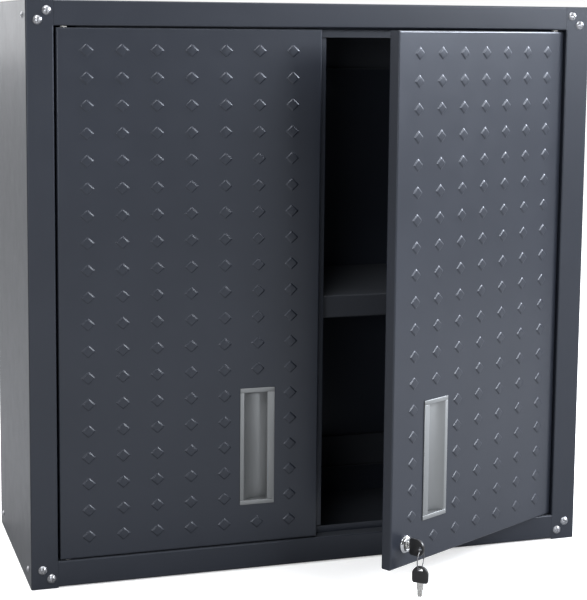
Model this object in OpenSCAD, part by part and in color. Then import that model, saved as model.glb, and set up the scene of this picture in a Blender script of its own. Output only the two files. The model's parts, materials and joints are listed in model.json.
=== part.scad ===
// Two-door steel wall cabinet with pin hinges, recessed pulls, a cam lock and one shelf.
// Millimetres. +X to the right, +Y towards the wall, +Z up.
// The origin is the centre of the four wall-fixing holes, on the wall face of the back panel.

/* [Cabinet] */
// Overall width
cab_w = 705; // [600:1:900]
// Overall height
cab_h = 685; // [560:1:900]
// Overall depth of the carcass, doors included
cab_d = 270; // [220:1:400]
// Thickness of the carcass and door sheet
sheet = 1; // [0.8:0.1:1.5]
// Outer radius of every visible fold
bend_r = 2; // [1.6:0.1:3]
// How far the posts reach below the bottom panel
post_drop = 1; // [0:0.5:3]

/* [Front frame] */
// Width of each post
post_w = 32; // [28:1:45]
// Height of the top rail
top_rail_h = 29; // [22:1:45]
// Height of the bottom rail
bottom_rail_h = 31; // [22:1:45]
// Depth of the fold at the inner edge of each post
post_return = 15; // [10:1:20]
// Distance of the door stops behind the front face
stop_setback = 16.2; // [15.9:0.1:24]
// How far the top door stop hangs below its rail
top_stop_h = 11; // [8:0.5:16]
// How far the bottom door stop stands above its rail
bottom_stop_h = 8.6; // [7.5:0.1:14]
// How far both door stops end short of the posts
stop_inset = 28; // [22:1:60]
// Width of the flanges behind the side panels and panels
rear_flange = 15; // [12:1:20]
// Height of the side flanges of the top and bottom panels
side_flange = 20; // [16:1:30]
// Gap at the seams between posts and rails
seam = 0.2; // [0.1:0.1:0.5]

/* [Doors] */
// Door thickness
door_t = 14.5; // [13:0.1:15]
// Gap above the doors
top_gap = 1.8; // [1.2:0.1:3]
// Gap below the doors
bottom_gap = 1.4; // [1.2:0.1:3]
// Gap between door and post
hinge_gap = 2.2; // [2:0.1:4]
// Gap between the two doors
meeting_gap = 2; // [1:0.1:4]
// Width of the flange folded round the back of each door
door_return = 10; // [8:1:14]
// Opening angle at which the right door stands at rest
rest_angle = 28; // [0:1:60]
// Distance of the hinge axis from the hinge edge of the door
pivot_in = 10; // [9:0.1:12]
// Distance of the hinge axis behind the door face
pivot_back = 7.5; // [7:0.1:8]
// Diameter of the hinge pins
hinge_pin_d = 4; // [3:0.1:5]
// Reach of each hinge pin beyond the door
hinge_pin_out = 6.5; // [5:0.1:9]
// How far the overlap strip stands past the edge of the left door
overlap = 10; // [6:0.5:13]
// Width of the overlap strip that lies on the left door
overlap_base = 12; // [8:0.5:14]
// Gap between the overlap strip and the closed right door
overlap_gap = 0.5; // [0.3:0.1:0.6]
// Width of the stiffener inside each door
stiffener_w = 60; // [40:1:90]

/* [Pulls] */
// Width of each pull
pull_w = 43; // [40:1:50]
// Height of each pull
pull_h = 144; // [110:1:180]
// Height of the pull above the bottom of the door
pull_rise = 48; // [40:0.5:80]
// Distance of the pull's centre from the free edge of the door
pull_from_edge = 77.5; // [72:0.5:100]
// Depth of the recess behind the door face
pull_depth = 11.2; // [9:0.1:11.2]
// Thickness of the pull's rim in front of the door
pull_rim = 1.2; // [0.8:0.1:2]
// Wall of the pull
pull_wall = 1.3; // [1:0.1:1.6]
// Width of the grip along the free-edge side
grip_w = 9; // [8:0.5:12]
// Height of each end cap
cap_h = 5.5; // [5:0.5:9]

/* [Lock and keys] */
// Distance of the lock from the free edge of the door
lock_from_edge = 27; // [25:0.5:32]
// Height of the lock above the bottom of the door
lock_rise = 26; // [24:0.5:36]
// Diameter of the collar
collar_d = 21; // [20:0.5:24]
// Height of the collar in front of the door
collar_h = 3.5; // [2:0.1:5]
// Diameter of the lock barrel
barrel_d = 16; // [15:0.5:17]
// Diameter of the turning plug
plug_d = 11; // [10:0.5:12]
// Length of the cam from the lock axis to its tip
cam_len = 27; // [24:0.5:32]
// Width of the cam
cam_w = 13; // [10:0.5:15]
// Thickness of the key blades
key_t = 2; // [1.6:0.1:2.2]
// Width of the key blades at the shoulder
key_w = 8; // [7:0.1:8.4]
// Height of the key bows
bow_h = 20; // [17:0.5:24]
// Thickness of the key bows
bow_t = 3.5; // [3:0.1:5]
// Diameter of the ring, outside
ring_d = 24; // [22:0.5:30]
// Diameter of the ring's wire
ring_wire = 1.3; // [1:0.1:1.6]
// Twist of the ring about the vertical, away from the door's plane
ring_twist = 20; // [0:1:25]

/* [Shelf] */
// Height of the shelf's top face above the bottom of the cabinet
shelf_level = 328; // [200:1:420]
// Distance of the shelf's front edge behind the front of the cabinet
shelf_setback = 32; // [24:1:60]
// Height of the shelf's front lip
shelf_lip = 28; // [20:1:40]
// Width of each slotted strip
strip_w = 16; // [14:1:20]
// How far each slotted strip stands off the side panel
strip_depth = 5; // [4:0.5:8]
// Distance between the slots
slot_pitch = 25; // [20:1:32]
// Length of a slot
slot_len = 9; // [8:0.5:12]
// Width of a slot
slot_w = 4; // [3:0.5:5]

/* [Wall fixing] */
// Distance between the wall holes, sideways
wall_span = 406.4; // [300:0.1:480]
// Distance of the wall holes from the top and the foot of the cabinet
wall_hole_in = 62.5; // [60:0.5:120]
// Diameter of the wall holes
wall_hole_d = 8; // [6:0.5:10]
// Height of each wall rail
wall_rail_h = 45; // [30:1:60]
// Thickness of each wall rail
wall_rail_t = 1.5; // [1:0.1:3]
// Depth of the folds of each wall rail
wall_rail_fold = 9; // [6:1:15]

/* [Fasteners] */
// Head diameter of the front corner screws
corner_head_d = 11; // [8:0.5:12]
// Shank diameter of the front corner screws
corner_screw_d = 5; // [4:0.5:6]
// Head diameter of the side screws
side_head_d = 8; // [7:0.5:10]
// Shank diameter of the side screws
side_screw_d = 4; // [3:0.5:5]
// Distance of the side screws from the front and the wall
side_screw_in = 23.5; // [20:0.5:30]
// Head diameter of the rivets
rivet_head_d = 8; // [6:0.5:9]
// Shank diameter of the rivets
rivet_d = 4; // [3:0.1:4.8]

/* [Hidden] */
$fn = 48;

fit = 0.05;          // running clearance of a shaft in its hole, on the radius
clear = 0.3;         // clearance between pieces that pass each other
past = 1;            // how far a cut runs past the face that it opens
half_w = cab_w / 2;
z_top = cab_h / 2;
z_foot = -cab_h / 2;
z_base = z_foot + post_drop;
y_front = -cab_d;
y_skin = y_front + sheet;
y_back = -sheet;
in_w = half_w - sheet;
wall_rise = cab_h - 2 * wall_hole_in;

open_x = half_w - post_w;
open_top = z_top - top_rail_h;
open_bottom = z_base + bottom_rail_h;
y_stop = y_front + stop_setback;
stop_x = open_x - stop_inset;

door_w = open_x - hinge_gap - meeting_gap / 2;
door_top = open_top - top_gap;
door_bottom = open_bottom + bottom_gap;
pivot_x = open_x - hinge_gap - pivot_in;
pivot_y = y_front + pivot_back;

// In the frame of a door the hinge axis is at x = 0, y = 0, and x runs to the free edge.
edge_hinge = -pivot_in;
edge_free = edge_hinge + door_w;
face = -pivot_back;
rear = face + door_t;
bush_d = hinge_pin_d + 4;
pull_x = edge_free - pull_from_edge - pull_w / 2;
pull_z = door_bottom + pull_rise;
rim_lap = 2.5;
lock_x = edge_free - lock_from_edge;
lock_z = door_bottom + lock_rise;
stop_rear = face + stop_setback + sheet;
cam_t = 1.8;
cam_y = stop_rear + 0.6;
barrel_end = cam_y - 0.1;
collar_y = face - collar_h;
collar_edge = 1;
lock_nut_af = 20.5;
lock_nut_h = 4;
tail_w = 6;          // square tail of the plug, on which the cam sits
cam_tap_d = 3;
keyway_play = 0.15;
key_in = 19;
bow_gap = 3;
bow_d = 21;
bow_y = collar_y - bow_gap - bow_d;
shank_in = 6;         // reach of each blade into its bow
ring_hole_d = 5;
ring_y = bow_y + 4.8;
ring_r = (ring_d - ring_wire) / 2;
ring_top = lock_z - ring_hole_d / 2 + ring_wire / 2 + 0.35;
ring_low = ring_top - 2 * ring_r;
spare_slot_h = 3.6;
spare_slot_w = 7;
spare_hole_z = ring_low - spare_slot_h / 2 + ring_wire / 2 + 0.3;
spare_bow_top = spare_hole_z + 4.4;
spare_blade_len = 17;

strip_web_x = in_w - strip_depth;
strip_t = 1.2;
strip_half_h = min(z_top - side_flange, -z_base - side_flange) - 20;
front_strip_y = y_front + 53;
rear_strip_y = -37;
slot_count = floor(2 * (strip_half_h - 12) / slot_pitch) + 1;
shelf_top = z_foot + shelf_level;
shelf_y = y_front + shelf_setback;
clip_t = 1.2;
clip_w = 12;
clip_leg = 14;
shelf_half = strip_web_x - clip_t - 2 * clear;

// Corner screws as distances from the side and from the end of the post.
corner_screw_at = [[13.7, 22.7], [24, 11.8]];
corner_nut_af = 8;
side_nut_af = 7;
nut_h = 2.6;
corner_screw_len = 7;
side_screw_len = 6.5;
side_screw_drop = 17;
rivet_rows = [-1, 0, 1];
rivet_in_x = 130;
rivet_in_z = 90;
rivet_head_h = 1.2;
catch_w = 38;
catch_h = 11;
catch_d = 15;
catch_x = -62;
catch_tab_t = 1.6;
catch_screw_d = 3;
catch_screw_len = 2.8;
catch_screw_at = [13, 3.8];   // from the middle of the catch and from the edge of the stop
plate_at = 7;
plate_t = 1.6;
plate_in = 12;
bumper_x = 150;
bumper_r = 3.3;
bumper_h = 1.3;

function across(flats) = flats / cos(30);

module block(x0, x1, y0, y1, z0, z1) {
    translate([x0, y0, z0]) cube([x1 - x0, y1 - y0, z1 - z0]);
}

module round_rect(x0, x1, y0, y1, r) {
    translate([x0 + r, y0]) square([x1 - x0 - 2 * r, y1 - y0]);
    translate([x0, y0 + r]) square([x1 - x0, y1 - y0 - 2 * r]);
    for (x = [x0 + r, x1 - r], y = [y0 + r, y1 - r]) translate([x, y]) circle(r);
}

module along_x(x0, x1) {
    translate([x0, 0, 0]) rotate([90, 0, 90]) linear_extrude(x1 - x0) children();
}

module along_z(z0, z1) {
    translate([0, 0, z0]) linear_extrude(z1 - z0) children();
}

// A cylinder from y0 to y1 about the line x, z.
module rod_y(x, z, d, y0, y1) {
    translate([x, y1, z]) rotate([90, 0, 0]) cylinder(d = d, h = y1 - y0);
}

module rod_z(x, y, d, z0, z1) {
    translate([x, y, z0]) cylinder(d = d, h = z1 - z0);
}

module both_sides() {
    children();
    mirror([1, 0, 0]) children();
}

// Pan-head screw: head above z = 0, shank below, with a cross recess.
module pan_screw(head_d, shank_d, length) {
    head_h = head_d * 0.26;
    dome_r = (head_d * head_d / 4 + head_h * head_h) / (2 * head_h);
    recess = head_d * 0.52;
    slot = head_d * 0.1;
    difference() {
        union() {
            rotate_extrude() intersection() {
                translate([0, head_h - dome_r]) circle(dome_r);
                square([head_d / 2, head_h]);
            }
            translate([0, 0, -length]) cylinder(d = shank_d, h = length + head_h / 4);
        }
        for (a = [0, 90]) rotate(a)
            translate([-recess / 2, -slot / 2, head_h * 0.45]) cube([recess, slot, head_h]);
    }
}

module hex_nut(flats, bore, h) {
    difference() {
        cylinder(d = across(flats), h = h, $fn = 6);
        translate([0, 0, -past]) cylinder(d = bore, h = h + 2 * past);
    }
}

// ---- Carcass -------------------------------------------------------------------

// Places children at the two screws of every front corner, with z pointing out of the front.
module at_corner_screws(y) {
    for (sx = [-1, 1], top = [0, 1], p = corner_screw_at)
        translate([sx * (half_w - p[0]), y, top == 1 ? z_top - p[1] : z_foot + p[1]])
            rotate([90, 0, 0]) children();
}

// Places children at the side screws of the left (-1) or right (1) side, with z pointing out.
module at_side_screws(side, x) {
    for (y = [y_front + side_screw_in, -side_screw_in])
        for (z = [z_top - side_screw_drop, z_base + side_screw_drop])
            translate([side * x, y, z]) rotate([0, side * 90, 0]) children();
}

module at_rivets() {
    for (k = rivet_rows) {
        for (side = [-1, 1])
            translate([side * (half_w - rear_flange / 2), 0, k * (z_top - rivet_in_z)])
                rotate([90, 0, 0]) children();
        for (z = [z_top - rear_flange / 2, z_base + rear_flange / 2])
            translate([k * (half_w - rivet_in_x), 0, z]) rotate([90, 0, 0]) children();
    }
}

module rivet_holes() {
    at_rivets() translate([0, 0, -past]) cylinder(d = rivet_d + 2 * fit, h = 2 * sheet + 2 * past);
}

module side_profile(with_return) {
    difference() {
        round_rect(-half_w, -open_x, y_front, y_back, bend_r);
        round_rect(-in_w, -open_x - sheet, y_skin, y_back - sheet, bend_r - sheet);
        translate([-half_w + rear_flange, y_front + post_return])
            square([post_w, cab_d]);
        if (!with_return)
            translate([-open_x - bend_r, y_front - past])
                square([post_w, post_return + 2 * past]);
    }
    if (!with_return)
        translate([-open_x - bend_r, y_front]) square([bend_r, sheet]);
}

module side_panel() {
    difference() {
        union() {
            along_z(open_bottom, open_top) side_profile(true);
            along_z(z_foot, open_bottom) side_profile(false);
            along_z(open_top, z_top) side_profile(false);
        }
        at_corner_screws(y_skin + past)
            cylinder(d = corner_screw_d + 2 * clear, h = sheet + 2 * past);
        at_side_screws(-1, in_w - past)
            cylinder(d = side_screw_d + 2 * clear, h = sheet + 2 * past);
        rivet_holes();
    }
}

module left_side_panel() {
    color("dimgray") side_panel();
}

module right_side_panel() {
    color("dimgray") mirror([1, 0, 0]) side_panel();
}

// One end panel with its rail, for the top. The level face is at z_end and the rail reaches
// rail_h below it; the stop reaches stop_h below the rail.
module end_panel(z_end, rail_h, stop_h) {
    z_rail = z_end - rail_h;
    front_d = 50;
    blank_d = 60;
    flange_front = 12;
    flange_rear = 8;
    post_lap = 6;
    difference() {
        union() {
            along_x(-open_x + seam, open_x - seam) difference() {
                round_rect(y_front, y_front + blank_d, z_rail, z_end, bend_r);
                round_rect(y_skin, y_front + blank_d + past, z_rail + sheet, z_end - sheet,
                           bend_r - sheet);
                translate([y_stop + sheet, z_rail - past])
                    square([blank_d, rail_h + past - sheet]);
                translate([y_front + front_d, z_rail]) square([blank_d, rail_h + past]);
            }
            block(-stop_x, stop_x, y_stop, y_stop + sheet, z_rail - stop_h, z_rail + sheet);
            along_z(z_end - sheet, z_end)
                round_rect(-in_w, in_w, y_skin + seam, y_back - sheet, bend_r);
            both_sides() {
                block(-in_w, -in_w + sheet, y_front + flange_front, -flange_rear,
                      z_end - side_flange, z_end);
                block(-in_w + sheet, -open_x + post_lap, y_skin, y_skin + sheet,
                      z_rail + sheet, z_end - sheet);
            }
            block(-half_w + rear_flange + clear, half_w - rear_flange - clear,
                  y_back - sheet, y_back, z_end - rear_flange, z_end);
        }
        both_sides()
            rod_z(pivot_x, pivot_y, bush_d + 2 * fit, z_rail - past, z_rail + sheet + past);
    }
}

module top_panel() {
    color("dimgray") difference() {
        end_panel(z_top, top_rail_h, top_stop_h);
        panel_holes();
    }
}

module bottom_panel() {
    color("dimgray") difference() {
        mirror([0, 0, 1]) end_panel(-z_base, bottom_rail_h, bottom_stop_h);
        panel_holes();
    }
}

// Holes for the corner, side and catch screws and for the rivets.
module panel_holes() {
    rivet_holes();
    catch_screw_holes();
    at_corner_screws(y_skin + 2 * sheet)
        cylinder(d = corner_screw_d + 2 * clear, h = 3 * sheet);
    for (side = [-1, 1]) at_side_screws(side, in_w - 2 * sheet)
        cylinder(d = side_screw_d + 2 * clear, h = 3 * sheet);
}

module back_panel() {
    color("dimgray") difference() {
        block(-half_w, half_w, y_back, 0, z_foot, z_top);
        at_wall_holes() cylinder(d = wall_hole_d, h = 2 * past + 2 * sheet, center = true);
        rivet_holes();
    }
}

module at_wall_holes() {
    for (x = [-wall_span / 2, wall_span / 2], z = [-wall_rise / 2, wall_rise / 2])
        translate([x, 0, z]) rotate([90, 0, 0]) children();
}

module wall_rail(z) {
    end_gap = 3;
    rail_x = half_w - rear_flange - end_gap;
    y0 = y_back - wall_rail_fold;
    color("slategray") difference() {
        block(-rail_x, rail_x, y0, y_back, z - wall_rail_h / 2, z + wall_rail_h / 2);
        block(-rail_x - past, rail_x + past, y0 - past, y_back - wall_rail_t,
              z - wall_rail_h / 2 + wall_rail_t, z + wall_rail_h / 2 - wall_rail_t);
        at_wall_holes()
            cylinder(d = wall_hole_d, h = 2 * (sheet + wall_rail_t + past), center = true);
    }
}

module upper_wall_rail() {
    wall_rail(wall_rise / 2);
}

module lower_wall_rail() {
    wall_rail(-wall_rise / 2);
}

module corner_screws() {
    color("silver") at_corner_screws(y_front)
        pan_screw(corner_head_d, corner_screw_d, corner_screw_len);
}

module corner_nuts() {
    color("silver") at_corner_screws(y_skin + sheet + nut_h)
        hex_nut(corner_nut_af, corner_screw_d + 2 * fit, nut_h);
}

module side_screws() {
    color("silver") for (side = [-1, 1])
        at_side_screws(side, half_w) pan_screw(side_head_d, side_screw_d, side_screw_len);
}

module side_nuts() {
    color("silver") for (side = [-1, 1]) at_side_screws(side, in_w - sheet - nut_h)
        hex_nut(side_nut_af, side_screw_d + 2 * fit, nut_h);
}

// Flush at the wall, with the head inside the cabinet.
module back_rivets() {
    color("silver") at_rivets() {
        cylinder(d = rivet_d, h = 2 * sheet + rivet_head_h);
        translate([0, 0, 2 * sheet])
            cylinder(d1 = rivet_head_d, d2 = rivet_head_d - 2, h = rivet_head_h);
    }
}

// ---- Shelf ---------------------------------------------------------------------

function slot_z(k) = (k - (slot_count - 1) / 2) * slot_pitch;

// The slot nearest to the shelf, counted from the bottom.
clip_slot = floor((shelf_top - sheet - 8 - slot_z(0)) / slot_pitch);
clip_z = slot_z(clip_slot);

module slotted_strip(y) {
    color("gray") difference() {
        block(-in_w, -strip_web_x, y - strip_w / 2, y + strip_w / 2, -strip_half_h, strip_half_h);
        block(-in_w - past, -strip_web_x - strip_t, y - strip_w / 2 + strip_t,
              y + strip_w / 2 - strip_t, -strip_half_h - past, strip_half_h + past);
        for (k = [0 : slot_count - 1])
            block(-strip_web_x - strip_t - past, -strip_web_x + past, y - slot_w / 2,
                  y + slot_w / 2, slot_z(k) - slot_len / 2, slot_z(k) + slot_len / 2);
    }
}

module left_front_strip() {
    slotted_strip(front_strip_y);
}

module left_rear_strip() {
    slotted_strip(rear_strip_y);
}

module right_front_strip() {
    mirror([1, 0, 0]) slotted_strip(front_strip_y);
}

module right_rear_strip() {
    mirror([1, 0, 0]) slotted_strip(rear_strip_y);
}

// Angle clip: a leg on the strip, a ledge below the shelf, and a tongue through one slot.
module shelf_clip(y) {
    ledge_top = shelf_top - sheet - 2 * fit;
    x0 = -strip_web_x;
    hook_x = x0 - strip_t - 0.4;
    hook_t = 1;
    hook_drop = 2;
    block(x0, x0 + clip_t, y - clip_w / 2, y + clip_w / 2, clip_z - slot_len, ledge_top);
    block(x0, x0 + clip_leg, y - clip_w / 2, y + clip_w / 2, ledge_top - clip_t, ledge_top);
    block(hook_x, x0 + clip_t, y - slot_w / 2 + clear, y + slot_w / 2 - clear,
          clip_z - slot_len / 2 + clear, clip_z + slot_len / 2 - clear);
    block(hook_x - hook_t, hook_x, y - slot_w / 2 + clear, y + slot_w / 2 - clear,
          clip_z - slot_len / 2 - hook_drop, clip_z + slot_len / 2 - clear);
}

module shelf_clips() {
    color("silver") both_sides() {
        shelf_clip(front_strip_y);
        shelf_clip(rear_strip_y);
    }
}

module shelf() {
    back_gap = 2;
    turn = 10;
    y1 = y_back - sheet - back_gap;
    z1 = shelf_top;
    color("dimgray") along_x(-shelf_half, shelf_half) difference() {
        round_rect(shelf_y, y1, z1 - shelf_lip, z1, bend_r);
        round_rect(shelf_y + sheet, y1 - sheet, z1 - shelf_lip + sheet, z1 - sheet, bend_r - sheet);
        translate([shelf_y + turn, z1 - shelf_lip - past])
            square([cab_d, shelf_lip + past - turn - 2]);
        translate([shelf_y + turn, z1 - shelf_lip])
            square([y1 - shelf_y - turn - sheet, shelf_lip - sheet]);
    }
}

// ---- Hinge bushes, catches and bumpers -----------------------------------------

// Nylon bush in the fold of a rail. An upper one reaches down to the door as a washer, and a
// lower one ends flush with the edge of the opening.
module bush(x, up) {
    washer = up ? top_gap - clear : 0;
    z0 = up ? open_top : open_bottom;
    out = hinge_pin_out - (up ? top_gap : bottom_gap) + 0.5;
    flange_d = bush_d + 3;
    flange_t = 1.2;
    color("white") translate([x, pivot_y, z0]) mirror([0, 0, up ? 0 : 1]) difference() {
        union() {
            translate([0, 0, -washer]) cylinder(d = bush_d, h = out + washer);
            translate([0, 0, sheet]) cylinder(d = flange_d, h = flange_t);
        }
        translate([0, 0, -washer - past])
            cylinder(d = hinge_pin_d + 2 * fit, h = out + washer + 2 * past);
    }
}

module left_upper_bush() {
    bush(-pivot_x, true);
}

module left_lower_bush() {
    bush(-pivot_x, false);
}

module right_upper_bush() {
    bush(pivot_x, true);
}

module right_lower_bush() {
    bush(pivot_x, false);
}

// The catches meet the inner sheet of the left door, inside its rear flange. The lower one is
// the mirror of an upper one, so its heights are given upside down.
catch_face = y_front + door_t - sheet + 2 * clear;
catch_tab_h = 8;
plate_out = clear;
upper_catch_at = [door_top - door_return - clear, open_top - top_stop_h];
lower_catch_at = [-door_bottom - door_return - clear, -open_bottom - bottom_stop_h];

// Housing with a tab that is screwed behind the stop. at = [top of the housing, edge of the stop].
module catch_body(at) {
    y_tab = y_stop + sheet;
    difference() {
        union() {
            block(catch_x - catch_w / 2, catch_x + catch_w / 2, catch_face, catch_face + catch_d,
                  at[0] - catch_h, at[0]);
            block(catch_x - catch_w / 2, catch_x + catch_w / 2, y_tab, y_tab + catch_tab_t,
                  at[0] - 2, at[1] + catch_tab_h);
        }
        at_catch_screws(at) translate([0, 0, -5]) cylinder(d = catch_screw_d + 2 * fit, h = 10);
        catch_plate_pair(at);
    }
}

module catch_plate_pair(at) {
    for (s = [-1, 1])
        block(catch_x + s * plate_at - plate_t / 2, catch_x + s * plate_at + plate_t / 2,
              catch_face - plate_out, catch_face + plate_in, at[0] - catch_h + 1.5, at[0] - 2);
}

module at_catch_screws(at) {
    for (s = [-1, 1])
        translate([catch_x + s * catch_screw_at[0], y_stop + sheet, at[1] + catch_screw_at[1]])
            rotate([-90, 0, 0]) children();
}

module catch_screw_holes() {
    at_catch_screws(upper_catch_at)
        translate([0, 0, -5]) cylinder(d = catch_screw_d + 2 * fit, h = 8);
    mirror([0, 0, 1]) at_catch_screws(lower_catch_at)
        translate([0, 0, -5]) cylinder(d = catch_screw_d + 2 * fit, h = 8);
}

module upper_catch() {
    color("white") catch_body(upper_catch_at);
}

module lower_catch() {
    color("white") mirror([0, 0, 1]) catch_body(lower_catch_at);
}

module catch_plates() {
    color("silver") {
        catch_plate_pair(upper_catch_at);
        mirror([0, 0, 1]) catch_plate_pair(lower_catch_at);
    }
}

module catch_screw_pair(at) {
    at_catch_screws(at) translate([0, 0, catch_tab_t])
        pan_screw(1.8 * catch_screw_d, catch_screw_d, catch_screw_len);
}

module catch_screws() {
    color("silver") {
        catch_screw_pair(upper_catch_at);
        mirror([0, 0, 1]) catch_screw_pair(lower_catch_at);
    }
}

module door_bumpers() {
    edge = bumper_r + 0.4;
    z_up = open_top - top_stop_h + edge;
    z_low = open_bottom + bottom_stop_h - edge;
    color("black") for (x = [-bumper_x, bumper_x], z = [z_up, z_low])
        rod_y(x, z, 2 * bumper_r, y_stop - bumper_h, y_stop);
}

// ---- Doors ---------------------------------------------------------------------

module on_left_door() {
    translate([-pivot_x, pivot_y, 0]) children();
}

module on_right_door() {
    translate([pivot_x, pivot_y, 0]) rotate(rest_angle) mirror([1, 0, 0]) children();
}

// A box with rounded front and rear edges, inset by a margin on all six sides.
module door_block(inset, r) {
    intersection() {
        along_z(door_bottom + inset, door_top - inset)
            round_rect(edge_hinge + inset, edge_free - inset, face + inset, rear - inset, r);
        along_x(edge_hinge, edge_free)
            round_rect(face + inset, rear - inset, door_bottom + inset, door_top - inset, r);
    }
}

module pull_cutout(y0, y1, play) {
    block(pull_x + rim_lap - play, pull_x + pull_w - rim_lap + play, y0, y1,
          pull_z + rim_lap - play, pull_z + pull_h - rim_lap + play);
}

module door_skin() {
    difference() {
        door_block(0, bend_r);
        door_block(sheet, bend_r - sheet);
        block(edge_hinge + door_return, edge_free - door_return, rear - 2 * sheet, rear + past,
              door_bottom + door_return, door_top - door_return);
        pull_cutout(face - past, face + 2 * sheet, clear);
        rod_z(0, 0, hinge_pin_d + 2 * fit, door_bottom - past, door_bottom + 2 * sheet);
        rod_z(0, 0, hinge_pin_d + 2 * fit, door_top - 2 * sheet, door_top + past);
    }
}

// Lies inside the rear flange, clear of the folds.
module door_inner() {
    inset = sheet + bend_r;
    block(edge_hinge + inset, edge_free - inset, rear - 2 * sheet, rear - sheet,
          door_bottom + inset, door_top - inset);
}

module door_inner_with_lock_hole() {
    difference() {
        door_inner();
        rod_y(lock_x, lock_z, barrel_d + 2, rear - 3 * sheet, rear);
    }
}

// Hat channel between the two skins.
module door_stiffener() {
    off_centre = 30;     // towards the hinge, clear of the pull
    end_gap = 14;
    lip = 12;
    x0 = (edge_hinge + edge_free) / 2 - off_centre - stiffener_w / 2;
    x1 = x0 + stiffener_w;
    z0 = door_bottom + end_gap;
    z1 = door_top - end_gap;
    block(x0 + lip, x1 - lip, face + sheet, face + 2 * sheet, z0, z1);
    block(x0, x0 + lip + sheet, rear - 3 * sheet, rear - 2 * sheet, z0, z1);
    block(x1 - lip - sheet, x1, rear - 3 * sheet, rear - 2 * sheet, z0, z1);
    block(x0 + lip, x0 + lip + sheet, face + sheet, rear - 2 * sheet, z0, z1);
    block(x1 - lip - sheet, x1 - lip, face + sheet, rear - 2 * sheet, z0, z1);
}

// Pin through the end fold of a door, with a collar inside the fold.
module hinge_pin(up) {
    z0 = up ? door_top : door_bottom;
    pin_in = 12;
    bevel = 0.6;
    pin_collar_d = hinge_pin_d + 4;
    pin_collar_t = 1.6;
    color("silver") translate([0, 0, z0]) mirror([0, 0, up ? 0 : 1]) {
        rod_z(0, 0, hinge_pin_d, -pin_in, hinge_pin_out - bevel);
        translate([0, 0, hinge_pin_out - bevel])
            cylinder(d1 = hinge_pin_d, d2 = hinge_pin_d - 2 * bevel, h = bevel);
        rod_z(0, 0, pin_collar_d, -sheet - pin_collar_t, -sheet);
    }
}

// Cross-section of the pull. x runs from its hinge-side edge, y is depth behind the door face.
module pull_outline() {
    body_x = pull_w - rim_lap;
    bevel = 1;
    slope_w = 9;
    slope_d = 8;
    polygon([
        [0, -pull_rim], [pull_w, -pull_rim], [pull_w, 0], [body_x, 0],
        [body_x, pull_depth - bevel], [body_x - bevel, pull_depth],
        [rim_lap + slope_w, pull_depth], [rim_lap, pull_depth - slope_d], [rim_lap, 0], [0, 0]
    ]);
}

// Points on a circle about c, from angle a0 to a1.
function arc(c, r, a0, a1, steps) =
    [for (i = [0 : steps]) let (a = a0 + (a1 - a0) * i / steps) c + r * [cos(a), sin(a)]];

module pull_section() {
    scoop_r = 30;
    flat_w = 15;
    floor_y = pull_depth - pull_wall;
    scoop_c = [pull_w - flat_w, floor_y - scoop_r];
    rim_angle = asin((-pull_rim - scoop_c[1]) / scoop_r);
    grip_x = pull_w - grip_w;
    inner_x = pull_w - rim_lap - pull_wall;
    mouth_y = -pull_rim - past;
    corner_r = 2;
    scoop = arc(scoop_c, scoop_r, 180 - rim_angle, 90, 14);
    difference() {
        pull_outline();
        polygon(concat(
            [[scoop[0][0], mouth_y]], scoop,
            arc([inner_x - corner_r, floor_y - corner_r], corner_r, 90, 0, 5),
            arc([inner_x - corner_r, pull_wall + corner_r], corner_r, 0, -90, 5),
            [[grip_x, pull_wall], [grip_x, mouth_y]]
        ));
    }
}

module pull() {
    color("lightgray") translate([pull_x, face, 0])
        along_z(pull_z + cap_h, pull_z + pull_h - cap_h) pull_section();
}

// Each cap has a rim of full width, and a body that passes through the cut-out of the door.
module pull_cap() {
    along_z(0, cap_h) translate([0, -pull_rim]) square([pull_w, pull_rim]);
    along_z(rim_lap, cap_h) pull_outline();
}

module pull_caps() {
    color("lightgray") translate([pull_x, face, pull_z]) {
        pull_cap();
        translate([0, 0, pull_h]) mirror([0, 0, 1]) pull_cap();
    }
}

module left_door_skin() {
    color("darkslategray") on_left_door() door_skin();
}

module left_door_inner() {
    color("dimgray") on_left_door() door_inner();
}

module left_door_stiffener() {
    color("gray") on_left_door() door_stiffener();
}

module left_upper_pin() {
    on_left_door() hinge_pin(true);
}

module left_lower_pin() {
    on_left_door() hinge_pin(false);
}

module left_pull() {
    on_left_door() pull();
}

module left_pull_caps() {
    on_left_door() pull_caps();
}

module overlap_strip() {
    z0 = open_bottom + bottom_stop_h + 1.5;
    z1 = open_top - top_stop_h - 1;
    half_joggle = 0.5;
    color("dimgray") on_left_door() {
        block(edge_free - overlap_base, edge_free + half_joggle, rear, rear + sheet, z0, z1);
        block(edge_free - half_joggle, edge_free + overlap, rear + overlap_gap,
              rear + overlap_gap + sheet, z0, z1);
    }
}

module right_door_skin() {
    color("slategray") on_right_door() difference() {
        door_skin();
        rod_y(lock_x, lock_z, barrel_d + 2 * fit, face - past, face + 2 * sheet);
    }
}

module right_door_inner() {
    color("dimgray") on_right_door() door_inner_with_lock_hole();
}

module right_door_stiffener() {
    color("gray") on_right_door() door_stiffener();
}

module right_upper_pin() {
    on_right_door() hinge_pin(true);
}

module right_lower_pin() {
    on_right_door() hinge_pin(false);
}

module right_pull() {
    on_right_door() pull();
}

module right_pull_caps() {
    on_right_door() pull_caps();
}

// ---- Lock ----------------------------------------------------------------------

// Turned about the lock axis: z points out of the door, with z = 0 on the door face.
module at_lock() {
    on_right_door() translate([lock_x, face, lock_z]) rotate([90, 0, 0]) children();
}

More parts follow.
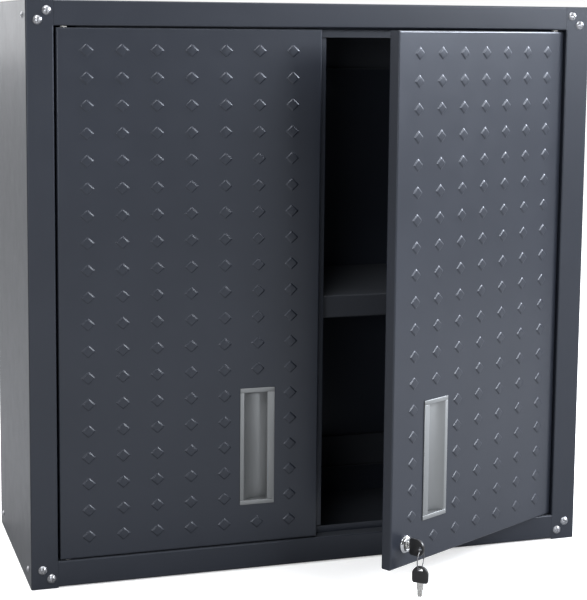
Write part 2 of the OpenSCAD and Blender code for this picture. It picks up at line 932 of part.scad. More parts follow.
module lock_barrel() {
    color("silver") at_lock() difference() {
        union() {
            cylinder(d = collar_d, h = collar_edge);
            translate([0, 0, collar_edge])
                cylinder(d1 = collar_d, d2 = collar_d - 5, h = collar_h - collar_edge);
            translate([0, 0, face - barrel_end])
                cylinder(d = barrel_d, h = barrel_end - face + collar_edge / 2);
        }
        translate([0, 0, face - barrel_end - past])
            cylinder(d = plug_d + 2 * fit, h = barrel_end - face + collar_h + 2 * past);
    }
}

module lock_nut() {
    color("silver") at_lock() translate([0, 0, -sheet - lock_nut_h])
        hex_nut(lock_nut_af, barrel_d + 2 * fit, lock_nut_h);
}

module lock_plug() {
    color("silver") at_lock() difference() {
        union() {
            translate([0, 0, face - barrel_end])
                cylinder(d = plug_d, h = barrel_end - face + collar_h - 0.3);
            translate([-tail_w / 2, -tail_w / 2, face - cam_y - cam_t - 0.2])
                cube([tail_w, tail_w, cam_t + 1]);
        }
        translate([-key_t / 2 - keyway_play, -key_w / 2 - keyway_play, -key_in - 0.5 + collar_h])
            cube([key_t + 2 * keyway_play, key_w + 2 * keyway_play, key_in + past]);
        translate([0, 0, face - cam_y - cam_t - past]) cylinder(d = cam_tap_d, h = 5);
    }
}

// The cam points to the hinge side: the door is unlocked.
module lock_cam() {
    color("silver") at_lock() translate([0, 0, face - cam_y - cam_t]) difference() {
        union() {
            cylinder(d = cam_w + 3, h = cam_t);
            translate([-cam_len, -cam_w / 2, 0]) cube([cam_len, cam_w, cam_t]);
        }
        translate([-tail_w / 2 - fit, -tail_w / 2 - fit, -past])
            cube([tail_w + 2 * fit, tail_w + 2 * fit, cam_t + 2 * past]);
    }
}

module cam_screw() {
    color("silver") at_lock() translate([0, 0, face - cam_y - cam_t - 0.2])
        mirror([0, 0, 1]) pan_screw(3 * cam_tap_d, cam_tap_d - 2 * fit, 3.4);
}

// ---- Keys ----------------------------------------------------------------------

// Outline of a bow in its own plane: x is the width, y runs from the shoulder to the end.
module bow_outline(w, h) {
    corner = 3;
    translate([-w / 2 + corner, 0]) square([w - 2 * corner, corner + past]);
    translate([-w / 2, corner]) square([w, h - w / 2 - corner]);
    for (s = [-1, 1]) translate([s * (w / 2 - corner), corner]) circle(corner);
    intersection() {
        translate([0, h - w / 2]) circle(w / 2);
        translate([-w / 2, 0]) square([w, h]);
    }
}

// Key in the lock: the blade stands on edge, and the bow lies in the same upright plane.
module key_blade() {
    tip = key_in - collar_h;
    color("silver") at_lock() difference() {
        translate([-key_t / 2, -key_w / 2, -tip])
            cube([key_t, key_w, tip + collar_h + bow_gap + shank_in]);
        for (s = [-1, 1]) translate([s * key_t / 2, 0, -tip / 2 + 1])
            cube([0.9, 1.8, tip + 8], center = true);
        for (s = [-1, 1]) translate([0, s * key_w / 2, -tip]) rotate([45, 0, 0])
            cube([10, 3, 3], center = true);
    }
}

module key_bow() {
    color("black") at_lock() difference() {
        translate([-bow_t / 2, 0, collar_h + bow_gap]) rotate([90, 0, 90])
            linear_extrude(bow_t) bow_outline(bow_h, bow_d);
        translate([-key_t / 2, -key_w / 2, 0])
            cube([key_t, key_w, collar_h + bow_gap + shank_in]);
        translate([-10, 0, -(ring_y - face)]) rotate([0, 90, 0]) cylinder(d = ring_hole_d, h = 20);
    }
}

module at_ring() {
    on_right_door() translate([lock_x, ring_y, 0]) rotate(-ring_twist) children();
}

module key_ring() {
    color("silver") at_ring() translate([0, 0, ring_top - ring_r]) rotate([90, 0, 0])
        rotate_extrude() translate([ring_r, 0]) circle(d = ring_wire);
}

module spare_key_blade() {
    z1 = spare_bow_top - bow_h;
    color("silver") at_ring() rotate([90, 0, 90]) difference() {
        translate([0, 0, -key_t / 2]) linear_extrude(key_t) polygon([
            [-key_w / 2, z1 + shank_in], [key_w / 2, z1 + shank_in], [key_w / 2, z1 - 7],
            [key_w / 2 - 1, z1 - 9], [key_w / 2 - 1, z1 - spare_blade_len + 2.5],
            [1.6, z1 - spare_blade_len], [-1.6, z1 - spare_blade_len],
            [1 - key_w / 2, z1 - spare_blade_len + 2.5], [1 - key_w / 2, z1 - 9],
            [-key_w / 2, z1 - 7]]);
        for (s = [-1, 1]) translate([0, z1 - spare_blade_len / 2 - 1, s * key_t / 2])
            cube([1.8, spare_blade_len, 0.9], center = true);
    }
}

module spare_key_bow() {
    z1 = spare_bow_top - bow_h;
    w = bow_h - 0.5;
    color("black") at_ring() rotate([90, 0, 90]) translate([0, z1, 0]) difference() {
        translate([0, 0, -bow_t / 2]) linear_extrude(bow_t) difference() {
            bow_outline(w, bow_h);
            translate([0, spare_hole_z - z1])
                round_rect(-spare_slot_w / 2, spare_slot_w / 2, -spare_slot_h / 2,
                           spare_slot_h / 2, spare_slot_h / 2 - 0.01);
        }
        translate([-key_w / 2, -past, -key_t / 2]) cube([key_w, shank_in + past, key_t]);
    }
}

left_side_panel();
right_side_panel();
top_panel();
bottom_panel();
back_panel();
upper_wall_rail();
lower_wall_rail();
corner_screws();
corner_nuts();
side_screws();
side_nuts();
back_rivets();
left_front_strip();
left_rear_strip();
right_front_strip();
right_rear_strip();
shelf_clips();
shelf();
left_upper_bush();
left_lower_bush();
right_upper_bush();
right_lower_bush();
upper_catch();
lower_catch();
catch_plates();
catch_screws();
door_bumpers();
left_door_skin();
left_door_inner();
left_door_stiffener();
left_upper_pin();
left_lower_pin();
left_pull();
left_pull_caps();
overlap_strip();
right_door_skin();
right_door_inner();
right_door_stiffener();
right_upper_pin();
right_lower_pin();
right_pull();
right_pull_caps();
lock_barrel();
lock_nut();
lock_plug();
lock_cam();
cam_screw();
key_blade();
key_bow();
key_ring();
spare_key_blade();
spare_key_bow();
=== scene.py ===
import json
import math

import bmesh
import bpy
from mathutils import Euler, Matrix, Vector


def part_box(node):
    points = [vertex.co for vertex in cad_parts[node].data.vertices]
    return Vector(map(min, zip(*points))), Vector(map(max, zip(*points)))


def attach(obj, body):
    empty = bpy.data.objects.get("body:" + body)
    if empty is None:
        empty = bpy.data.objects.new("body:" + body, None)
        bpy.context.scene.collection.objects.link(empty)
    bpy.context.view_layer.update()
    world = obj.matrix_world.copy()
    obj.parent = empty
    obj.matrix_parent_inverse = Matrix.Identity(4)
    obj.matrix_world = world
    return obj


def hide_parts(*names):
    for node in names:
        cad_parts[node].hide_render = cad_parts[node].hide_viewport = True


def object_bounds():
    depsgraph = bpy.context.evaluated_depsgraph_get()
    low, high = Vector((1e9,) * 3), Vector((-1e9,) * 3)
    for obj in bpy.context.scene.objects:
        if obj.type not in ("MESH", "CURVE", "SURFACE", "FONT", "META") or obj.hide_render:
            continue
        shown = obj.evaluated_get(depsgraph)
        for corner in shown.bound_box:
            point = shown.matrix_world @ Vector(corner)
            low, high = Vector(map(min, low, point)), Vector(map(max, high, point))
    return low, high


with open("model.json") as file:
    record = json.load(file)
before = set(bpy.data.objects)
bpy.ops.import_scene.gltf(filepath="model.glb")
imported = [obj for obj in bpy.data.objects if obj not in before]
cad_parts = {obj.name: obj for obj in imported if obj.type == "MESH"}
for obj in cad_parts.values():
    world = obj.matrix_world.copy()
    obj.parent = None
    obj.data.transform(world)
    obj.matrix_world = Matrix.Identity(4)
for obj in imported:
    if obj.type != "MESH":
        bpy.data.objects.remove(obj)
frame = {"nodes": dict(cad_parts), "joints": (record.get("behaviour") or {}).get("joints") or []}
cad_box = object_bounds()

MM = 0.001
NODES = frame["nodes"]
JOINTS = {joint["name"]: joint for joint in frame["joints"]}


# ---- Node trees ------------------------------------------------------------------

class Field:
    """One output of a node tree. Arithmetic on it adds Math nodes."""

    def __init__(self, tree, socket):
        self.tree = tree
        self.socket = socket

    def math(self, operation, *values, clamp=False):
        settings = {"operation": operation, "use_clamp": clamp}
        made = self.tree.node("ShaderNodeMath", settings, dict(enumerate(values)))
        return Field(self.tree, made.outputs[0])

    def __add__(self, other):
        return self.math("ADD", self, other)

    def __sub__(self, other):
        return self.math("SUBTRACT", self, other)

    def __rsub__(self, other):
        return self.math("SUBTRACT", other, self)

    def __mul__(self, other):
        return self.math("MULTIPLY", self, other)

    def __pow__(self, other):
        return self.math("POWER", self, other)

    def __gt__(self, other):
        return self.math("GREATER_THAN", self, other)

    def __lt__(self, other):
        return self.math("LESS_THAN", self, other)

    __radd__ = __add__
    __rmul__ = __mul__

    def clamped(self):
        return self.math("ADD", self, 0.0, clamp=True)


class Tree:
    """A node tree with one method that adds any node. A ramp has two stops, as it comes."""

    def __init__(self, tree):
        self.tree = tree
        self.tree.nodes.clear()

    def node(self, kind, settings=None, values=None):
        made = self.tree.nodes.new(kind)
        for key, value in (settings or {}).items():
            if key == "stops":
                for element, (place, tone) in zip(made.color_ramp.elements, value):
                    element.position = place
                    element.color = (*tone, 1)
            else:
                setattr(made, key, value)
        for key, value in (values or {}).items():
            self.feed(made.inputs[key], value)
        return made

    def feed(self, entry, value):
        if isinstance(value, Field):
            self.tree.links.new(value.socket, entry)
        elif isinstance(value, tuple) and entry.type == "RGBA":
            entry.default_value = (*value, 1)
        else:
            entry.default_value = value

    def out(self, kind, output, settings=None, values=None):
        return Field(self, self.node(kind, settings, values).outputs[output])


# A Mix node has sockets of the same name for each kind of value, so its colours go by place.
MIX_MASK, MIX_LOW, MIX_HIGH, MIX_RESULT = 0, 6, 7, 2
EVEN_STRETCH = (1.0, 1.0, 1.0)


class Finish(Tree):
    """A material round one Principled shader. Even values go straight on the shader."""

    def __init__(self, name, **even):
        self.material = bpy.data.materials.new(name)
        self.material.use_nodes = True
        super().__init__(self.material.node_tree)
        self.shader = self.node("ShaderNodeBsdfPrincipled")
        end = self.node("ShaderNodeOutputMaterial")
        self.tree.links.new(self.shader.outputs[0], end.inputs[0])
        for key, value in even.items():
            self.vary(key.replace("_", " "), value)

    def vary(self, entry, value):
        self.feed(self.shader.inputs[entry], value)

    def place(self, stretch):
        here = self.out("ShaderNodeTexCoord", "Object")
        return self.out("ShaderNodeMapping", "Vector", None, {"Vector": here, "Scale": stretch})

    def noise(self, scale, detail=2.0, rough=0.5, stretch=EVEN_STRETCH):
        return self.out("ShaderNodeTexNoise", "Fac", None, {
            "Vector": self.place(stretch), "Scale": scale, "Detail": detail, "Roughness": rough})

    def ramp(self, field, *stops):
        return self.out("ShaderNodeValToRGB", "Color", {"stops": stops}, {"Fac": field})

    def blend(self, mask, low, high):
        return self.out("ShaderNodeMix", MIX_RESULT, {"data_type": "RGBA"}, {
            MIX_MASK: mask, MIX_LOW: low, MIX_HIGH: high})

    def bump(self, height, depth):
        self.vary("Normal", self.out("ShaderNodeBump", "Normal", None, {
            "Height": height, "Distance": depth}))


# ---- Finishes --------------------------------------------------------------------

COAT_SHEEN = (0.86, 0.91, 1.0)       # tint of what the powder coat reflects
DUST_TONE = (0.030, 0.033, 0.039)
DUST_FROM = 0.7                      # how squarely upwards a face looks where its dust begins
DUST_STEEPNESS = 4
DUST_COVER = 0.5                     # share of the coat's colour that full dust hides
DUST_ROUGHNESS = 0.42                # what full dust adds


def powder_coat(name, deep, pale, rough, peel=0.05, gloss=0.25):
    """Satin powder coat: two close tones, orange peel, a fine fleck in the tone. Faces that lie
    level and look up are dulled by fine dust."""
    made = Finish(name, Specular_IOR_Level=0.5, Specular_Tint=COAT_SHEEN, Coat_Roughness=0.22,
                  Coat_Tint=COAT_SHEEN, IOR=1.5)
    cloud = made.noise(5, 3, 0.55)
    grain = made.noise(2400, 2, 0.6)
    tone = made.ramp(cloud * 0.7 + grain * 0.3, (0.32, deep), (0.68, pale))
    facing = made.out("ShaderNodeTexCoord", "Normal")
    upward = made.out("ShaderNodeSeparateXYZ", "Z", None, {0: facing})
    dust = ((upward - DUST_FROM) * DUST_STEEPNESS).clamped()
    made.vary("Base Color", made.blend(dust * DUST_COVER, tone, DUST_TONE))
    sheen = made.noise(38, 3, 0.6) * 0.10 + made.noise(900, 1) * 0.05 + (rough - 0.08)
    made.vary("Roughness", sheen + dust * DUST_ROUGHNESS)
    made.vary("Coat Weight", (made.noise(16, 2) * 0.12 + (gloss - 0.06)) * (1 - dust))
    made.bump(made.noise(520, 2, 0.45) * 0.8 + made.noise(1700, 1) * 0.2, peel * MM)
    return made.material


def brushed_metal(name, tone, rough, stretch, scale, depth, spread=0.12, metal=1.0):
    """Metal with fine marks drawn along one direction."""
    made = Finish(name, Metallic=metal)
    marks = made.noise(scale, 4, 0.6, stretch)
    soft = made.noise(24, 2)
    dark = tuple(part * 0.86 for part in tone)
    made.vary("Base Color", made.blend(marks * 0.6 + soft * 0.4, dark, tone))
    made.vary("Roughness", marks * spread + soft * 0.08 + (rough - spread / 2 - 0.04))
    made.bump(marks, depth * MM)
    return made.material


def plated(name, tone, rough, mottle, tarnish=0.8):
    """Plated metal: soft mottling down to the tarnished tone, faint pits."""
    made = Finish(name, Metallic=1.0)
    cloud = made.noise(mottle, 3, 0.6)
    fine = made.noise(mottle * 14, 2)
    dull = tuple(part * tarnish for part in tone)
    made.vary("Base Color", made.ramp(cloud, (0.3, dull), (0.7, tone)))
    made.vary("Roughness", cloud * 0.12 + fine * 0.06 + (rough - 0.09))
    made.bump(fine, 0.01 * MM)
    return made.material


def moulded(name, deep, pale, rough, grain=1400, depth=0.03):
    """Moulded plastic or rubber with an even fine grain."""
    made = Finish(name, Specular_IOR_Level=0.45)
    cloud = made.noise(55, 3)
    made.vary("Base Color", made.ramp(cloud, (0.3, deep), (0.7, pale)))
    made.vary("Roughness", cloud * 0.1 + (rough - 0.05))
    made.bump(made.noise(grain, 2), depth * MM)
    return made.material


GRAPHITE = powder_coat("graphite_carcass_coat",
                       (0.0115, 0.0135, 0.0190), (0.0150, 0.0175, 0.0245), 0.42)
DOOR_GRAPHITE = powder_coat("graphite_door_coat",
                            (0.0110, 0.0130, 0.0185), (0.0145, 0.0170, 0.0240), 0.40)
# The inside coat is the graphite coat made paler. This is painted light, standing in for the light
# that the shaded inside of the cabinet lacks.
INSIDE_GRAPHITE_PAINTED_LIGHT = powder_coat("graphite_inside_coat_painted_light",
                              (0.024, 0.026, 0.031), (0.030, 0.0325, 0.038), 0.5,
                              peel=0.06, gloss=0.1)
ZINC = plated("bright_zinc", (0.80, 0.81, 0.83), 0.36, 420)
SCREW_ZINC = plated("dulled_screw_zinc", (0.56, 0.57, 0.60), 0.34, 520, tarnish=0.42)
RING_STEEL = plated("darkened_ring_steel", (0.24, 0.24, 0.25), 0.30, 400, tarnish=0.6)
PIN_STEEL = plated("bright_pin_steel", (0.92, 0.92, 0.93), 0.18, 300)
ALUMINIUM_TONE = (0.265, 0.275, 0.28)
UPRIGHT_MARKS = (1.0, 1.0, 0.03)
LEVEL_MARKS = (0.03, 0.03, 1.0)
ALUMINIUM = brushed_metal("satin_aluminium", ALUMINIUM_TONE, 0.52, UPRIGHT_MARKS,
                          900, 0.004, spread=0.1, metal=0.7)
CAP_ALUMINIUM = brushed_metal("satin_aluminium_caps", ALUMINIUM_TONE, 0.50, LEVEL_MARKS,
                              900, 0.004, spread=0.1, metal=0.7)
CHROME = plated("polished_chrome", (0.66, 0.67, 0.69), 0.13, 200, tarnish=0.85)
NICKEL = brushed_metal("nickel_key_steel", (0.74, 0.73, 0.70), 0.26, (1.0, 1.0, 0.2), 1500, 0.01)
KEY_PLASTIC = moulded("black_key_plastic", (0.010, 0.010, 0.011), (0.016, 0.016, 0.017), 0.36)
NYLON = moulded("white_nylon", (0.66, 0.65, 0.61), (0.76, 0.75, 0.71), 0.45, 900)
RUBBER = moulded("black_rubber", (0.012, 0.012, 0.012), (0.022, 0.022, 0.022), 0.75, 700, 0.06)

NODE_FINISH = {
    "left_side_panel": GRAPHITE, "right_side_panel": GRAPHITE, "top_panel": GRAPHITE,
    # The shelf, wall rails, front and rear strips and door stiffeners take the paler inside coat,
    # which is painted light.
    "bottom_panel": GRAPHITE, "back_panel": GRAPHITE, "shelf": INSIDE_GRAPHITE_PAINTED_LIGHT,
    "upper_wall_rail": INSIDE_GRAPHITE_PAINTED_LIGHT, "lower_wall_rail": INSIDE_GRAPHITE_PAINTED_LIGHT,
    "left_front_strip": INSIDE_GRAPHITE_PAINTED_LIGHT, "left_rear_strip": INSIDE_GRAPHITE_PAINTED_LIGHT,
    "right_front_strip": INSIDE_GRAPHITE_PAINTED_LIGHT, "right_rear_strip": INSIDE_GRAPHITE_PAINTED_LIGHT,
    "left_door_skin": DOOR_GRAPHITE, "right_door_skin": DOOR_GRAPHITE,
    "left_door_inner": DOOR_GRAPHITE, "right_door_inner": DOOR_GRAPHITE,
    "left_door_stiffener": INSIDE_GRAPHITE_PAINTED_LIGHT, "right_door_stiffener": INSIDE_GRAPHITE_PAINTED_LIGHT,
    "overlap_strip": DOOR_GRAPHITE, "door_bumpers": RUBBER,
    "upper_catch": NYLON, "lower_catch": NYLON,
    "left_upper_bush": NYLON, "left_lower_bush": NYLON,
    "right_upper_bush": NYLON, "right_lower_bush": NYLON,
    "left_upper_pin": PIN_STEEL, "left_lower_pin": PIN_STEEL,
    "right_upper_pin": PIN_STEEL, "right_lower_pin": PIN_STEEL,
    "left_pull": ALUMINIUM, "right_pull": ALUMINIUM,
    "left_pull_caps": CAP_ALUMINIUM, "right_pull_caps": CAP_ALUMINIUM,
    "lock_barrel": CHROME, "lock_nut": ZINC, "lock_plug": CHROME, "lock_cam": ZINC,
    "key_blade": NICKEL, "key_ring": RING_STEEL, "spare_key_blade": NICKEL,
    "corner_screws": SCREW_ZINC, "side_screws": SCREW_ZINC,
    "key_bow": KEY_PLASTIC, "spare_key_bow": KEY_PLASTIC,
}
for name, node in NODES.items():
    node.data.materials.clear()
    node.data.materials.append(NODE_FINISH.get(name, ZINC))


# ---- Doors -----------------------------------------------------------------------

DOOR_LOW, DOOR_HIGH = (Vector(corner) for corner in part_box("left_door_skin"))
LEFT_PIVOT = Vector(JOINTS["left_door_hinge"]["pos_m"])
RIGHT_PIVOT = Vector(JOINTS["right_door_hinge"]["pos_m"])
REST_ANGLE = -math.radians(JOINTS["right_door_hinge"]["range_deg"][0])

# A door's own frame has its hinge axis at x = 0, y = 0, and x runs to its free edge.
ON_LEFT_DOOR = Matrix.Translation(LEFT_PIVOT)
ON_RIGHT_DOOR = (Matrix.Translation(RIGHT_PIVOT) @ Matrix.Rotation(REST_ANGLE, 4, "Z")
                 @ Matrix.Diagonal((-1, 1, 1, 1)))
HINGE_EDGE = DOOR_LOW.x - LEFT_PIVOT.x
FACE = DOOR_LOW.y - LEFT_PIVOT.y

LOZENGE_WIDE, LOZENGE_HIGH, LOZENGE_RISE = 17.3 * MM, 15.8 * MM, 1.0 * MM
TREAD_SMOOTH = 25     # degrees; a steeper edge stays sharp
COLUMNS, ROWS = 7, 19
COLUMN_PITCH, ROW_PITCH = 41.1 * MM, 31.65 * MM
FIRST_INSET = 34.5 * MM
FIRST_COLUMN = HINGE_EDGE + FIRST_INSET


def new_piece(name, mesh, material):
    made = bpy.data.objects.new(name, mesh)
    bpy.context.scene.collection.objects.link(made)
    mesh.materials.append(material)
    return made


def lozenge_mesh():
    """A pressed lozenge in the x, z plane that rises towards -y, with eased corners."""
    # Each ring: share of the half diagonals, rise, and how round its corners are.
    rings = [(1.04, -0.02, 0.10), (1.0, 0.05, 0.10), (0.955, 0.22, 0.10), (0.83, 0.80, 0.13),
             (0.78, 0.95, 0.15), (0.71, 1.0, 0.18)]
    bm = bmesh.new()
    loops = []
    for share, rise, ease in rings:
        loop = []
        for corner in range(4):
            for turn in (-1, 0, 1):
                angle = corner * math.pi / 2
                reach = 1 - ease * (0.5 if turn == 0 else 1.0)
                side = ease * turn
                x = reach * math.cos(angle) - side * math.sin(angle)
                z = reach * math.sin(angle) + side * math.cos(angle)
                loop.append(bm.verts.new((x * share * LOZENGE_WIDE / 2, -rise * LOZENGE_RISE,
                                          z * share * LOZENGE_HIGH / 2)))
        loops.append(loop)
    for low, high in zip(loops, loops[1:]):
        for k in range(len(low)):
            n = (k + 1) % len(low)
            bm.faces.new((low[k], low[n], high[n], high[k]))
    bm.faces.new(loops[-1])
    bm.faces.new(list(reversed(loops[0])))
    bmesh.ops.recalc_face_normals(bm, faces=bm.faces)
    mesh = bpy.data.meshes.new("lozenge")
    bm.to_mesh(mesh)
    bm.free()
    return mesh


def tree_input(tree, name, kind, value):
    entry = tree.interface.new_socket(name, in_out="INPUT", socket_type=kind)
    entry.default_value = value


def tread_tree():
    """Repeats the incoming lozenge on a grid and leaves out those inside two boxes."""
    group = bpy.data.node_groups.new("tread_pattern", "GeometryNodeTree")
    group.interface.new_socket("Geometry", in_out="INPUT", socket_type="NodeSocketGeometry")
    group.interface.new_socket("Geometry", in_out="OUTPUT", socket_type="NodeSocketGeometry")
    tree_input(group, "Columns", "NodeSocketInt", COLUMNS)
    tree_input(group, "Rows", "NodeSocketInt", ROWS)
    tree_input(group, "Column Pitch", "NodeSocketFloat", COLUMN_PITCH)
    tree_input(group, "Row Pitch", "NodeSocketFloat", ROW_PITCH)
    for name in ("Centre", "Pull Low", "Pull High", "Lock Low", "Lock High"):
        tree_input(group, name, "NodeSocketVector", (0, 0, 0))
    tree_input(group, "Finish", "NodeSocketMaterial", None)
    tree = Tree(group)
    given = tree.node("NodeGroupInput")

    def entry(name):
        return Field(tree, given.outputs[name])

    grid = tree.out("GeometryNodeMeshGrid", "Mesh", None, {
        "Size X": (entry("Columns") - 1) * entry("Column Pitch"),
        "Size Y": (entry("Rows") - 1) * entry("Row Pitch"),
        "Vertices X": entry("Columns"), "Vertices Y": entry("Rows")})
    upright = tree.out("GeometryNodeTransform", "Geometry", None, {
        "Geometry": grid, "Rotation": (math.pi / 2, 0, 0), "Translation": entry("Centre")})
    point = tree.node("ShaderNodeSeparateXYZ", None,
                      {0: tree.out("GeometryNodeInputPosition", "Position")})
    across, up = Field(tree, point.outputs["X"]), Field(tree, point.outputs["Z"])

    def inside(low, high):
        low = tree.node("ShaderNodeSeparateXYZ", None, {0: entry(low)})
        high = tree.node("ShaderNodeSeparateXYZ", None, {0: entry(high)})
        return ((across > Field(tree, low.outputs["X"])) * (across < Field(tree, high.outputs["X"]))
                * (up > Field(tree, low.outputs["Z"])) * (up < Field(tree, high.outputs["Z"])))

    left_out = inside("Pull Low", "Pull High") + inside("Lock Low", "Lock High")
    kept = tree.out("GeometryNodeDeleteGeometry", "Geometry", {"domain": "POINT"}, {
        "Geometry": upright, "Selection": left_out > 0.5})
    copies = tree.out("GeometryNodeInstanceOnPoints", "Instances", None, {
        "Points": kept, "Instance": entry("Geometry")})
    real = tree.out("GeometryNodeRealizeInstances", "Geometry", None, {"Geometry": copies})
    done = tree.out("GeometryNodeSetMaterial", "Geometry", None, {
        "Geometry": real, "Material": entry("Finish")})
    tree.node("NodeGroupOutput", None, {0: done})
    return group


def finished(piece, name, place, body, smooth):
    """Makes a piece plain: modifiers applied, its place in its mesh, riding on a body."""
    bpy.context.view_layer.update()
    shaped = piece.evaluated_get(bpy.context.evaluated_depsgraph_get())
    mesh = bpy.data.meshes.new_from_object(shaped)
    bpy.data.objects.remove(piece)
    mesh.name = name
    mesh.transform(place)
    if place.determinant() < 0:
        mesh.flip_normals()
    mesh.shade_smooth()
    mesh.set_sharp_from_angle(angle=math.radians(smooth))
    made = bpy.data.objects.new(name, mesh)
    bpy.context.scene.collection.objects.link(made)
    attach(made, body)
    return made


def tread(name, body, place, pull, lock, tree):
    """A door's lozenges, but for those inside its pull's box and its lock's box."""
    piece = new_piece(name, lozenge_mesh(), DOOR_GRAPHITE)
    modifier = piece.modifiers.new("tread", "NODES")
    modifier.node_group = tree
    entries = {item.name: item.identifier for item in tree.interface.items_tree
               if item.in_out == "INPUT"}
    values = {"Centre": (FIRST_COLUMN + COLUMN_PITCH * (COLUMNS - 1) / 2, FACE,
                         (DOOR_LOW.z + DOOR_HIGH.z) / 2),
              "Pull Low": pull[0], "Pull High": pull[1], "Lock Low": lock[0], "Lock High": lock[1],
              "Finish": DOOR_GRAPHITE}
    for key, value in values.items():
        modifier[entries[key]] = value
    finished(piece, name, place, body, TREAD_SMOOTH)


def in_door(node, place):
    """The box of a node's points in its door's own frame."""
    points = [place.inverted() @ vertex.co for vertex in NODES[node].data.vertices]
    low = Vector(min(point[axis] for point in points) for axis in range(3))
    high = Vector(max(point[axis] for point in points) for axis in range(3))
    return low, high


PULL_LOW, PULL_HIGH = in_door("left_pull_caps", ON_LEFT_DOOR)
COLLAR_LOW, COLLAR_HIGH = in_door("lock_barrel", ON_RIGHT_DOOR)
MARGIN = Vector((8, 8, 8)) * MM
tread_pattern = tread_tree()
PULL_ROOM = (PULL_LOW - MARGIN, PULL_HIGH + MARGIN)
NO_ROOM = (Vector((0, 0, 0)), Vector((0, 0, 0)))
tread("left_door_tread", "left_door", ON_LEFT_DOOR, PULL_ROOM, NO_ROOM, tread_pattern)
tread("right_door_tread", "right_door", ON_RIGHT_DOOR, PULL_ROOM,
      (COLLAR_LOW - MARGIN, COLLAR_HIGH + MARGIN), tread_pattern)


# ---- Eased copies of the small parts ----------------------------------------------

WELD = 0.002 * MM
FLAT, SHARP, EASED_SMOOTH = 0.5, 30, 40     # degrees between two faces


def eased(node, body, width):
    """A copy of a CAD node with its sharp edges eased, in place of the node."""
    bm = bmesh.new()
    bm.from_mesh(NODES[node].data)
    bmesh.ops.remove_doubles(bm, verts=bm.verts, dist=WELD)
    bmesh.ops.dissolve_limit(bm, angle_limit=math.radians(FLAT), verts=bm.verts, edges=bm.edges)
    mesh = bpy.data.meshes.new(node + "_eased")
    bm.to_mesh(mesh)
    bm.free()
    piece = new_piece("copy_of_" + node, mesh, NODE_FINISH.get(node, ZINC))
    ease = piece.modifiers.new("ease", "BEVEL")
    ease.width = width * MM
    ease.segments = 2
    ease.limit_method = "ANGLE"
    ease.angle_limit = math.radians(SHARP)
    made = finished(piece, node + "_eased", Matrix.Identity(4), body, EASED_SMOOTH)
    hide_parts(node)


# Each row: the node, its body, its slot, and the width of its eased edges in millimetres.
for node, body, slot, width in (
        ("left_pull", "left_door", "pull_aluminium", 0.35),
        ("right_pull", "right_door", "pull_aluminium", 0.35),
        ("left_pull_caps", "left_door", "pull_aluminium", 0.5),
        ("right_pull_caps", "right_door", "pull_aluminium", 0.5),
        ("key_bow", "key", "key_plastic", 0.7),
        ("spare_key_bow", "spare_key", "key_plastic", 0.7),
        ("key_blade", "key", "key_steel", 0.15),
        ("spare_key_blade", "spare_key", "key_steel", 0.15),
        ("lock_barrel", "right_door", "lock_chrome", 0.4),
        ("corner_screws", "cabinet", "zinc", 0.25),
        ("side_screws", "cabinet", "zinc", 0.2)):
    eased(node, body, width)


# ---- Studio ----------------------------------------------------------------------

BLACK, WHITE = (0.0, 0.0, 0.0), (1.0, 1.0, 1.0)
COOL = (0.94, 0.96, 1.0)
BLUE = (0.88, 0.92, 1.0)
FLOOR_GLOW = 0.38         # lifts the floor to white, for the camera only
FLOOR_BOUNCE = 0.32       # how pale the floor is to everything but the camera
FLOOR_GAP = 0.5 * MM
FLOOR_REACH = 30
BEHIND_SHARE, ABOVE_SHARE, FRONT_LEVEL = 0.9, 0.25, 0.45
FALL_OFF = 1.6
BACK_LIGHT, TOP_LIGHT, LEAST_LIGHT = 2.0, 0.30, 0.07


def softbox(name, at, aim, wide, high, power, tone=WHITE):
    light = bpy.data.lights.new(name, "AREA")
    light.shape = "RECTANGLE"
    light.size, light.size_y = wide, high
    light.energy = power
    light.color = tone
    lamp = bpy.data.objects.new(name, light)
    lamp.location = at
    lamp.rotation_euler = (Vector(aim) - Vector(at)).to_track_quat("-Z", "Y").to_euler()
    bpy.context.scene.collection.objects.link(lamp)


def pale_floor(level, reach):
    mesh = bpy.data.meshes.new("pale_floor")
    corners = [(across * reach, along * reach, level)
               for across, along in ((-1, -1), (1, -1), (1, 1), (-1, 1))]
    mesh.from_pydata(corners, [], [(0, 1, 2, 3)])
    made = Finish("pale_floor_paint", Roughness=0.9, Specular_IOR_Level=0.1,
                  Emission_Strength=FLOOR_GLOW)
    seen = made.out("ShaderNodeLightPath", "Is Camera Ray")
    pale = made.ramp(made.noise(3, 2), (0.3, (0.86, 0.86, 0.86)), (0.7, (0.9, 0.9, 0.9)))
    made.vary("Base Color", made.blend(seen, (FLOOR_BOUNCE,) * 3, pale))
    made.vary("Emission Color", made.blend(seen, BLACK, WHITE))
    floor = new_piece("pale_floor", mesh, made.material)


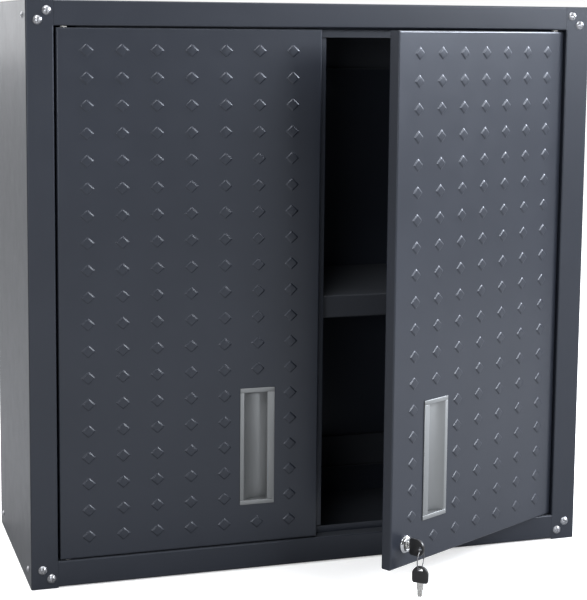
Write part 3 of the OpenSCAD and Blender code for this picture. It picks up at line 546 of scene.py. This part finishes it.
def studio_world():
    """Bright behind and above the cabinet, dim in front, even and pale to the eye."""
    world = bpy.data.worlds.new("studio")
    world.use_nodes = True
    tree = Tree(world.node_tree)
    toward = tree.out("ShaderNodeTexCoord", "Generated")
    parts = tree.node("ShaderNodeSeparateXYZ", None, {0: toward})
    behind = Field(tree, parts.outputs["Y"])
    above = Field(tree, parts.outputs["Z"])
    depth = (behind * BEHIND_SHARE + above * ABOVE_SHARE + FRONT_LEVEL).clamped()
    level = depth ** FALL_OFF * BACK_LIGHT + above.clamped() * TOP_LIGHT + LEAST_LIGHT
    seen = tree.out("ShaderNodeLightPath", "Is Camera Ray")
    strength = level * (1 - seen) + seen
    back = tree.node("ShaderNodeBackground", None, {"Color": WHITE, "Strength": strength})
    end = tree.node("ShaderNodeOutputWorld")
    world.node_tree.links.new(back.outputs[0], end.inputs[0])
    bpy.context.scene.world = world


pale_floor(cad_box[0][2] - FLOOR_GAP, FLOOR_REACH)
studio_world()
# Each softbox: where it is, what it points at, its width and height, its watts, its tone.
softbox("key_right", (2.2, -0.45, 1.1), (0.1, -0.3, 0.4), 1.2, 0.8, 96, BLUE)
softbox("front_right", (2.0, -1.75, 1.35), (0.1, -0.2, 0.2), 0.8, 0.8, 29, COOL)
softbox("front_fill", (1.6, -2.5, 0.85), (0.2, -0.2, 0.32), 0.9, 0.5, 36, COOL)
softbox("low_left", (-1.0, -2.1, 0.3), (0.1, -0.2, 0.0), 0.5, 0.5, 8, COOL)
softbox("high_left", (-0.9, -1.6, 2.0), (-0.1, -0.2, 0.1), 0.8, 0.6, 20, COOL)
softbox("overhead", (0, -0.1, 2.4), (0, -0.1, 0), 1.8, 1.2, 30)

eye = bpy.data.objects.new("eye", bpy.data.cameras.new("eye"))
eye.location = (-0.6058, -2.0432, 0.3131)
eye.rotation_euler = Euler([math.radians(turn) for turn in (83.0349, -0.5291, -17.6501)])
eye.data.sensor_width = 36
eye.data.lens = 94.036
eye.data.shift_x = 0.0059
eye.data.shift_y = -0.1340
bpy.context.scene.collection.objects.link(eye)
bpy.context.scene.camera = eye
bpy.context.scene.view_settings.view_transform = "Standard"
